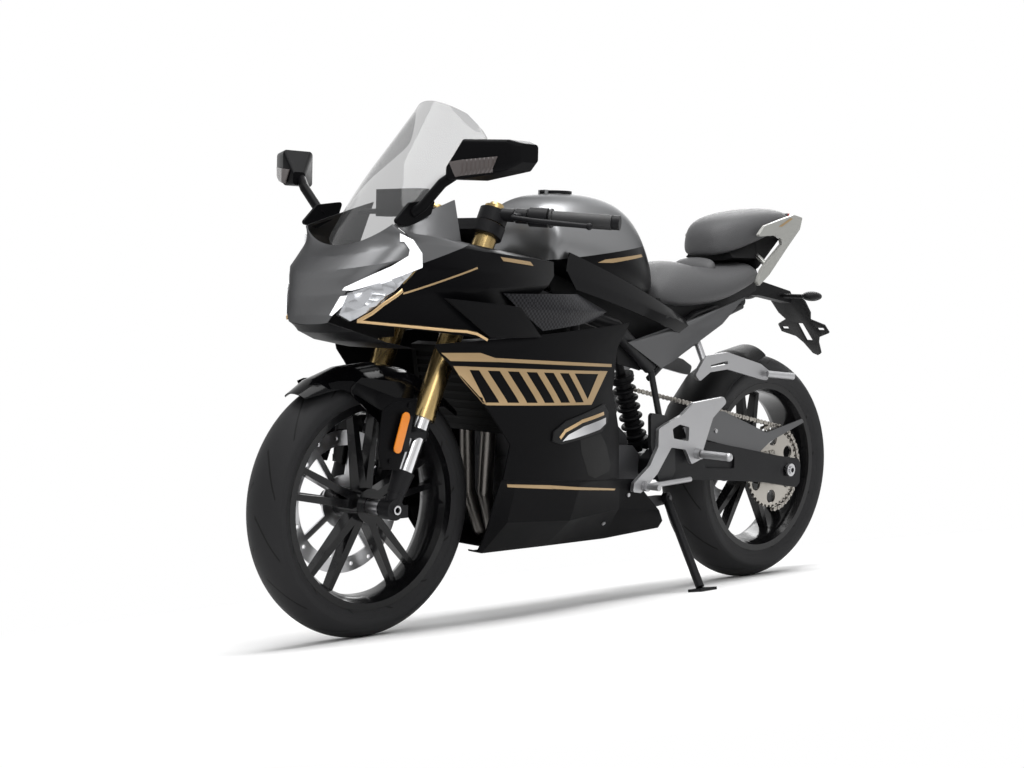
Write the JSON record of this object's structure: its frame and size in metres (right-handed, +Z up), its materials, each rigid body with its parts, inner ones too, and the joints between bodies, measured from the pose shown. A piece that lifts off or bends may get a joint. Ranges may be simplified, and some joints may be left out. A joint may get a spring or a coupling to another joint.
{
  "type": "sport motorcycle",
  "caption": "Faired sport motorcycle on its side stand: two wheels, steering fork, twin seats and full bodywork, with turning wheels, steering, stand and filler cap.",
  "frame": {"origin": "on the floor under the centre of the leaned motorcycle's box", "axes": "+X forward along the motorcycle, +Y to the rider's left, +Z up; the motorcycle leans to the left on its side stand"},
  "size_m": [1.9872, 0.8004, 1.1765],
  "materials": {
    "tyre": "matt black tyre rubber",
    "wheel_black": "satin black cast aluminium",
    "disc_steel": "ground stainless brake disc",
    "chain_steel": "oiled chain and sprocket steel",
    "fork_gold": "gold anodised fork tube",
    "slider_chrome": "hard chromed fork slider",
    "cast_black": "black painted castings",
    "alloy_silver": "sand-cast silver alloy",
    "steel_axle": "turned steel axle",
    "frame_paint": "dark grey frame paint",
    "engine_grey": "dark grey engine castings",
    "radiator_black": "black radiator core",
    "exhaust_steel": "bare steel exhaust",
    "body_satin_black": "satin black bodywork paint",
    "body_gloss_black": "gloss black bodywork paint",
    "body_gunmetal": "metallic gunmetal paint",
    "body_light_grey": "metallic light grey paint",
    "trim_plastic": "grained black plastic",
    "carbon_pattern": "fine checked black panel",
    "seat_cover": "dark grey seat cover",
    "rubber_grip": "ribbed black rubber",
    "screen_smoke": "clear lightly tinted screen",
    "lamp_clear": "clear lamp lens",
    "lamp_red": "red lamp lens",
    "reflector_amber": "amber reflector"
  },
  "bodies": {
    "chassis": {"main_frame": "frame_paint", "engine": "engine_grey", "radiator": "radiator_black", "exhaust_pipe": "exhaust_steel", "muffler": "cast_black", "rear_shock": "cast_black", "fuel_tank": "body_gunmetal", "tank_side_covers": "body_gloss_black", "rider_seat": "seat_cover", "pillion_seat": "seat_cover", "tail_cowl": "body_light_grey", "seat_side_panels": "body_gunmetal", "tail_light": "lamp_red", "plate_bracket": "trim_plastic", "rear_hugger": "trim_plastic", "chain_guard": "body_gunmetal", "footrest_hangers": "alloy_silver", "pillion_hangers": "alloy_silver", "footpegs": "alloy_silver", "foot_levers": "alloy_silver", "nose_cowl": "body_gunmetal", "windscreen": "screen_smoke", "headlamps": "lamp_clear", "upper_fairings": "body_gloss_black", "mid_fairings": "carbon_pattern", "winglets": "body_satin_black", "side_fairings": "body_satin_black", "belly_fairings": "body_satin_black", "under_nose": "trim_plastic", "instrument_cowl": "trim_plastic", "side_vents": "alloy_silver", "mirrors": "body_satin_black", "swingarm": "cast_black", "rear_axle": "steel_axle", "rear_caliper": "cast_black", "drive_chain": "chain_steel"},
    "steering": {"steering_yokes": "cast_black", "fork_tubes": "fork_gold", "fork_sliders": "slider_chrome", "axle_feet": "cast_black", "front_axle": "steel_axle", "handlebars": "cast_black", "grips": "rubber_grip", "hand_controls": "cast_black", "front_mudguard": "body_gloss_black", "fork_reflectors": "reflector_amber", "front_caliper": "cast_black"},
    "front_wheel": {"front_tyre": "tyre", "front_rim": "wheel_black", "front_disc": "disc_steel"},
    "rear_wheel": {"rear_tyre": "tyre", "rear_rim": "wheel_black", "rear_disc": "disc_steel", "rear_sprocket": "chain_steel"},
    "side_stand": {"side_stand": "cast_black"},
    "filler_cap": {"fuel_cap": "cast_black"}
  },
  "joints": [
    {"name": "steering_turn", "type": "hinge", "parent": "chassis", "child": "steering", "pos_m": [0.67224, -0.13332, 0.27718], "axis": [-0.4065, 0.1586, 0.8998], "range_deg": [-30, 30]},
    {"name": "front_wheel_spin", "type": "hinge", "parent": "steering", "child": "front_wheel", "pos_m": [0.70056, -0.13114, 0.28959], "axis": [0, 0.9848, -0.1736], "continuous": true},
    {"name": "rear_wheel_spin", "type": "hinge", "parent": "chassis", "child": "rear_wheel", "pos_m": [-0.66944, -0.12888, 0.30269], "axis": [0, 0.9848, -0.1736], "continuous": true},
    {"name": "side_stand_fold", "type": "hinge", "parent": "chassis", "child": "side_stand", "pos_m": [-0.20645, -0.02726, 0.2339], "axis": [-0.2319, 0.9725, 0.0235], "range_deg": [0, 97]},
    {"name": "filler_cap_lid", "type": "hinge", "parent": "chassis", "child": "filler_cap", "pos_m": [0.15171, -0.0068, 0.99483], "axis": [0, 0.9848, -0.1736], "range_deg": [0, 80]}
  ]
}
